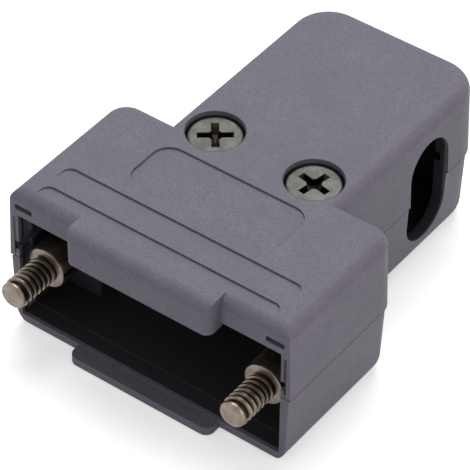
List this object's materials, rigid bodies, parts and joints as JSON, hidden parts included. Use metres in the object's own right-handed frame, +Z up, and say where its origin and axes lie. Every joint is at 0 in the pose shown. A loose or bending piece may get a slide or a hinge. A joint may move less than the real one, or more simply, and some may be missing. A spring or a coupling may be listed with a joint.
{
  "type": "d-sub hood",
  "caption": "Moulded D-sub connector hood in two halves, with captive locking screws at the mouth and a side cable exit.",
  "frame": {"origin": "on the underside, midway between the two cover screws", "axes": "+X towards the cable exit, +Y from the mouth to the closed end of the neck, +Z up"},
  "size_m": [0.032, 0.0445, 0.0165],
  "materials": {
    "shell_plastic": "fine grained purplish grey moulding",
    "cover_screw_metal": "dark nickel with an olive tint",
    "nut_metal": "plain zinc",
    "lock_screw_metal": "bright warm nickel"
  },
  "bodies": {
    "hood": {"upper_shell": "shell_plastic", "lower_shell": "shell_plastic", "cover_screw_left": "cover_screw_metal", "cover_screw_right": "cover_screw_metal", "cover_nut_left": "nut_metal", "cover_nut_right": "nut_metal"},
    "left_lock": {"lock_screw_left": "lock_screw_metal"},
    "right_lock": {"lock_screw_right": "lock_screw_metal"}
  },
  "joints": [
    {"name": "left_lock_turn", "type": "hinge", "parent": "hood", "child": "left_lock", "pos_m": [-0.01249, -0.011, 0.00777], "axis": [0, -1, 0], "continuous": true},
    {"name": "right_lock_turn", "type": "hinge", "parent": "hood", "child": "right_lock", "pos_m": [0.01249, -0.011, 0.00777], "axis": [0, -1, 0], "continuous": true}
  ]
}
